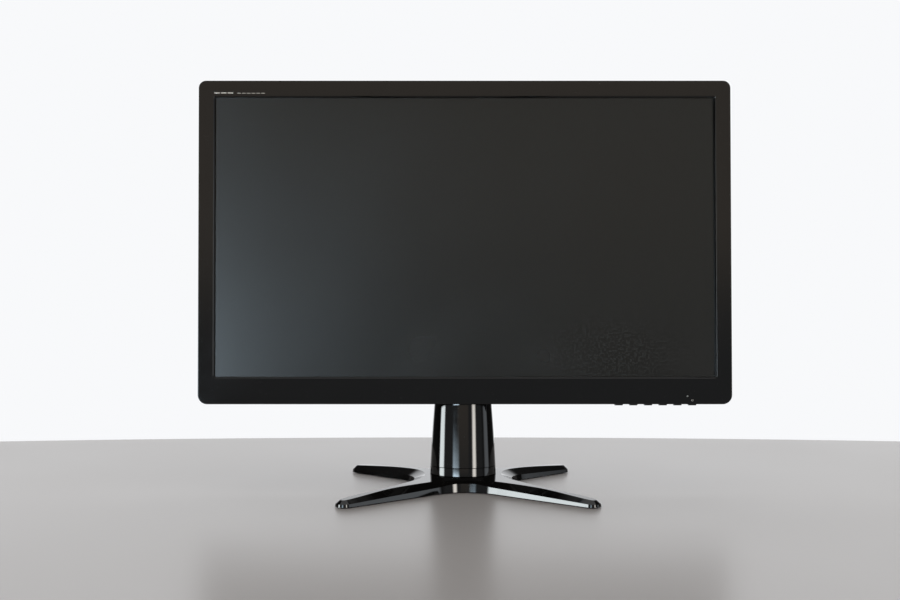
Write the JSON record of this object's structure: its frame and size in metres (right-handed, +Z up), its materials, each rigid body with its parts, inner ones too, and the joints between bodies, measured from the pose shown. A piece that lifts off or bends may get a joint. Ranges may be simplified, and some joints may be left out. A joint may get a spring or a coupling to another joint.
{
  "type": "computer monitor",
  "caption": "Flat desktop computer monitor with a glossy black frame, keys under its lower edge and a panel that tilts on a short column over a four-legged star base.",
  "frame": {"origin": "on the table, under the middle of the whole object", "axes": "+X to the right of a viewer facing the screen, +Y away from the viewer, +Z up"},
  "size_m": [0.51, 0.2, 0.3933],
  "materials": {
    "gloss_black": "polished black moulding",
    "satin_black": "satin black",
    "screen": "matt anti-glare screen, switched off",
    "clear_plastic": "clear acrylic",
    "white_film": "matt white film",
    "steel": "zinc-plated sheet",
    "bright_steel": "bright nickel plate",
    "aluminium": "plain aluminium",
    "circuit_board": "green solder mask",
    "rubber": "matt black rubber",
    "yellow_tape": "polyester tape"
  },
  "bodies": {
    "stand": {"base_star": "gloss_black", "base_plate": "steel", "base_screw": "steel", "base_collar": "gloss_black", "column_front_shell": "gloss_black", "column_rear_shell": "gloss_black", "column_upright": "steel", "hinge_shaft_left": "bright_steel", "hinge_shaft_right": "bright_steel", "spring_washer_left": "bright_steel", "spring_washer_right": "bright_steel", "hinge_nut_left": "bright_steel", "hinge_nut_right": "bright_steel", "rubber_foot_front_left": "rubber", "rubber_foot_front_right": "rubber", "rubber_foot_rear_left": "rubber", "rubber_foot_rear_right": "rubber"},
    "panel": {"front_bezel": "gloss_black", "rear_cover": "satin_black", "lcd_front_frame": "satin_black", "bulk_capacitor": "satin_black", "power_inlet": "satin_black", "lcd_glass": "screen", "light_guide_plate": "clear_plastic", "lamp_lens": "clear_plastic", "optical_sheets": "white_film", "ribbon_cable": "white_film", "lcd_back_plate": "steel", "main_chassis": "steel", "hinge_plate": "steel", "cover_screw_1": "steel", "cover_screw_2": "steel", "cover_screw_3": "steel", "cover_screw_4": "steel", "hinge_screw_1": "steel", "hinge_screw_2": "steel", "hinge_screw_3": "steel", "hinge_screw_4": "steel", "vga_socket": "bright_steel", "dvi_socket": "bright_steel", "led_strip": "aluminium", "heat_sink": "aluminium", "driver_board": "circuit_board", "main_board": "circuit_board", "power_board": "circuit_board", "key_board": "circuit_board", "transformer": "yellow_tape"},
    "button_1": {"button_1": "gloss_black"},
    "button_2": {"button_2": "gloss_black"},
    "button_3": {"button_3": "gloss_black"},
    "button_4": {"button_4": "gloss_black"},
    "button_5": {"button_5": "gloss_black"},
    "button_6": {"button_6": "gloss_black"}
  },
  "joints": [
    {"name": "panel_tilt", "type": "hinge", "parent": "stand", "child": "panel", "pos_m": [0, 0.033, 0.152], "axis": [-1, 0, 0], "range_deg": [-10, 10]},
    {"name": "button_1_press", "type": "slide", "parent": "panel", "child": "button_1", "axis": [0, 0.0872, 0.9962], "range_m": [0, 0.0005], "stiffness_N_per_m": 1200, "springref_m": -0.0008},
    {"name": "button_2_press", "type": "slide", "parent": "panel", "child": "button_2", "axis": [0, 0.0872, 0.9962], "range_m": [0, 0.0005], "stiffness_N_per_m": 1200, "springref_m": -0.0008},
    {"name": "button_3_press", "type": "slide", "parent": "panel", "child": "button_3", "axis": [0, 0.0872, 0.9962], "range_m": [0, 0.0005], "stiffness_N_per_m": 1200, "springref_m": -0.0008},
    {"name": "button_4_press", "type": "slide", "parent": "panel", "child": "button_4", "axis": [0, 0.0872, 0.9962], "range_m": [0, 0.0005], "stiffness_N_per_m": 1200, "springref_m": -0.0008},
    {"name": "button_5_press", "type": "slide", "parent": "panel", "child": "button_5", "axis": [0, 0.0872, 0.9962], "range_m": [0, 0.0005], "stiffness_N_per_m": 1200, "springref_m": -0.0008},
    {"name": "button_6_press", "type": "slide", "parent": "panel", "child": "button_6", "axis": [0, 0.0872, 0.9962], "range_m": [0, 0.0005], "stiffness_N_per_m": 1200, "springref_m": -0.0008}
  ]
}
